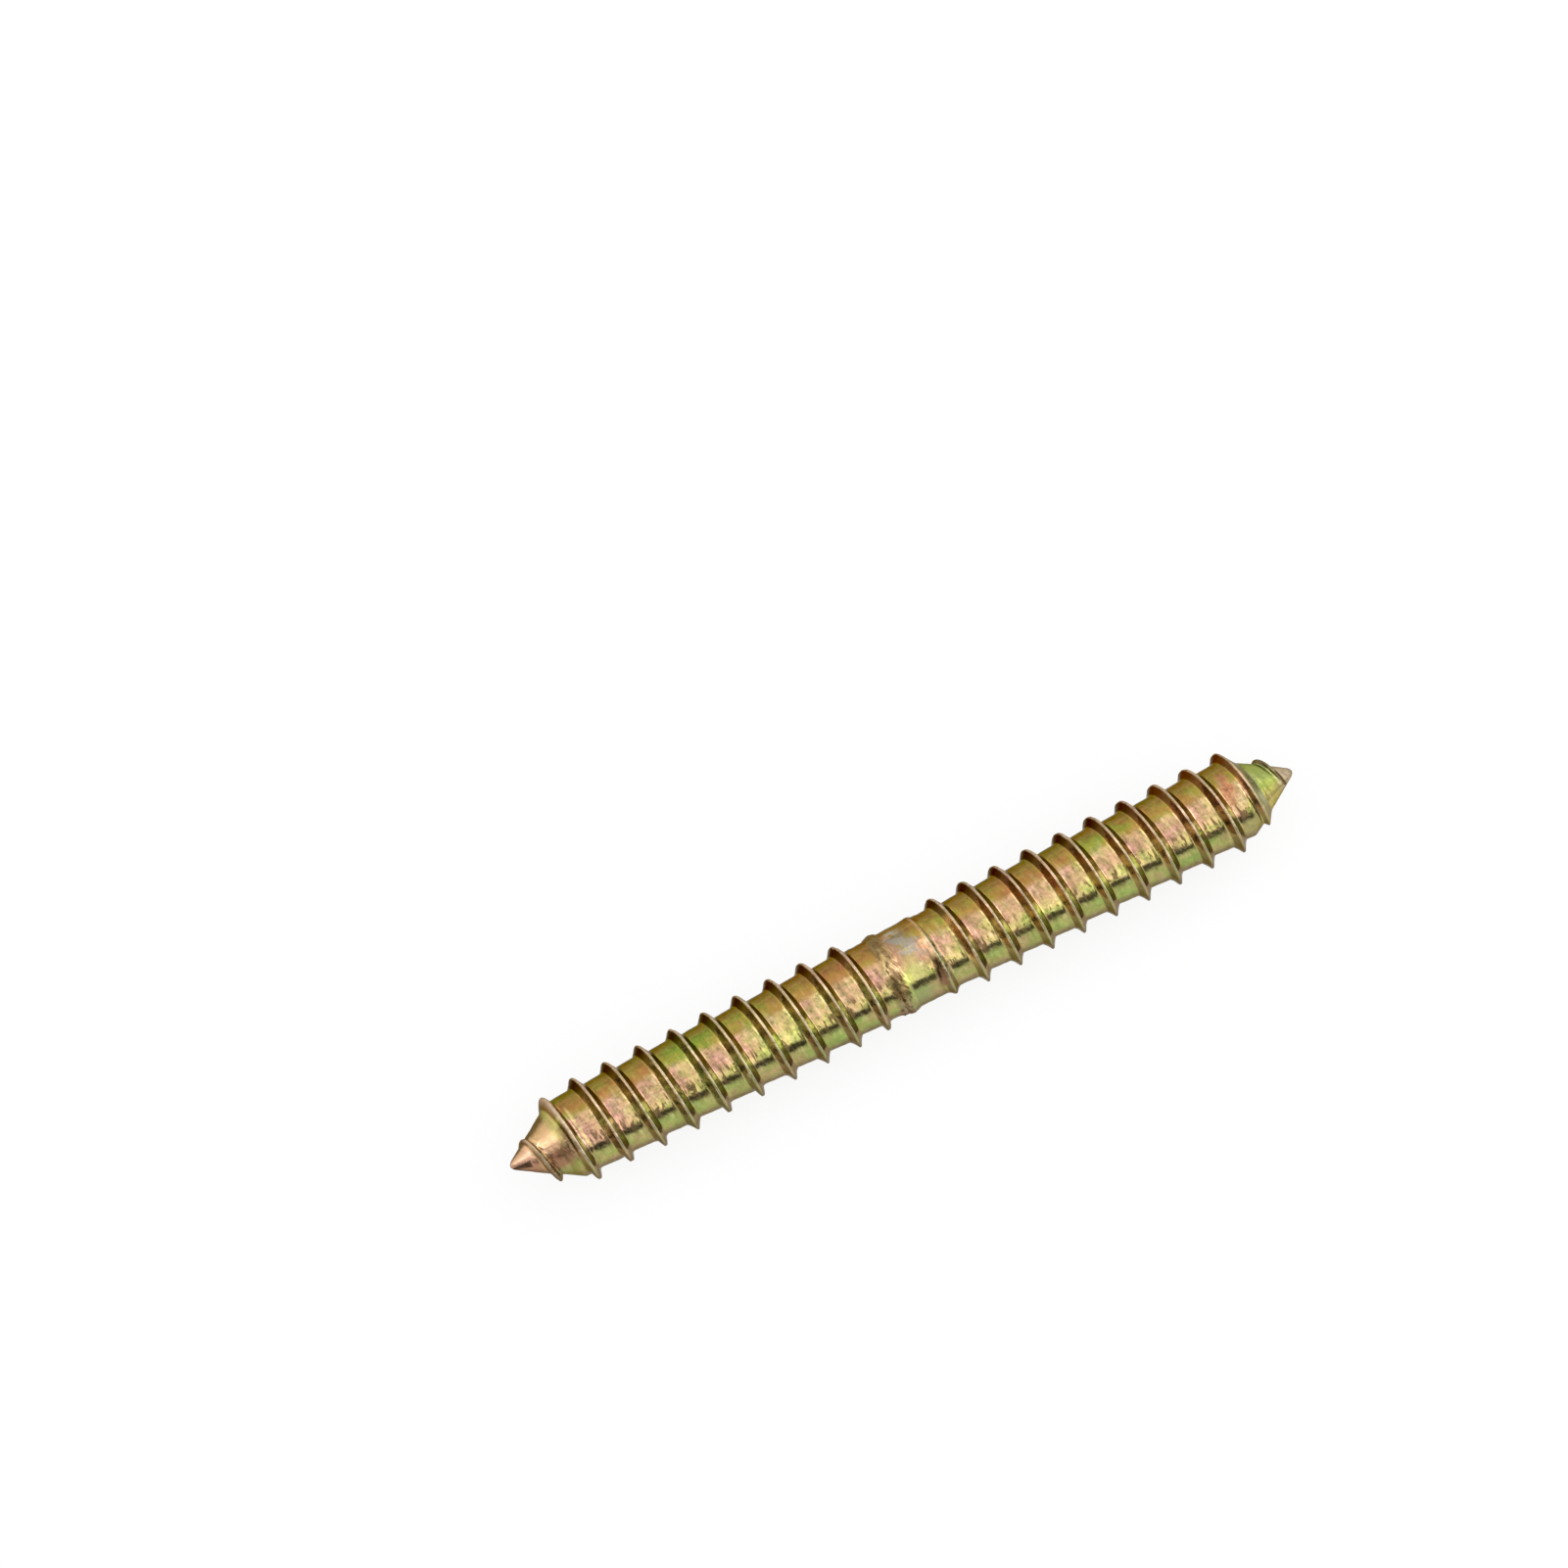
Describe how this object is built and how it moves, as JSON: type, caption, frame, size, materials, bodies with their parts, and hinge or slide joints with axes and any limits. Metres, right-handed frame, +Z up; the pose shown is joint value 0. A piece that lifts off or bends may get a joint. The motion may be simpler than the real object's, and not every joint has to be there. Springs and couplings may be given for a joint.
{
  "type": "double-ended wood screw",
  "caption": "Headless wood screw with a coarse rolled thread and a gimlet point at both ends, for a hidden joint between two timbers.",
  "frame": {"origin": "on the surface the screw lies on, under the middle of its length", "axes": "+X along the screw from the point whose thread grows slowly to the one whose thread grows fast, +Z up from the surface"},
  "size_m": [0.07, 0.0082, 0.0081],
  "materials": {
    "yellow_zinc_steel": "yellow chromated zinc plating on rolled carbon steel, with an iridescent tint of pink, orange and green"
  },
  "bodies": {
    "root": {"double_ended_screw": "yellow_zinc_steel"}
  },
  "joints": []
}
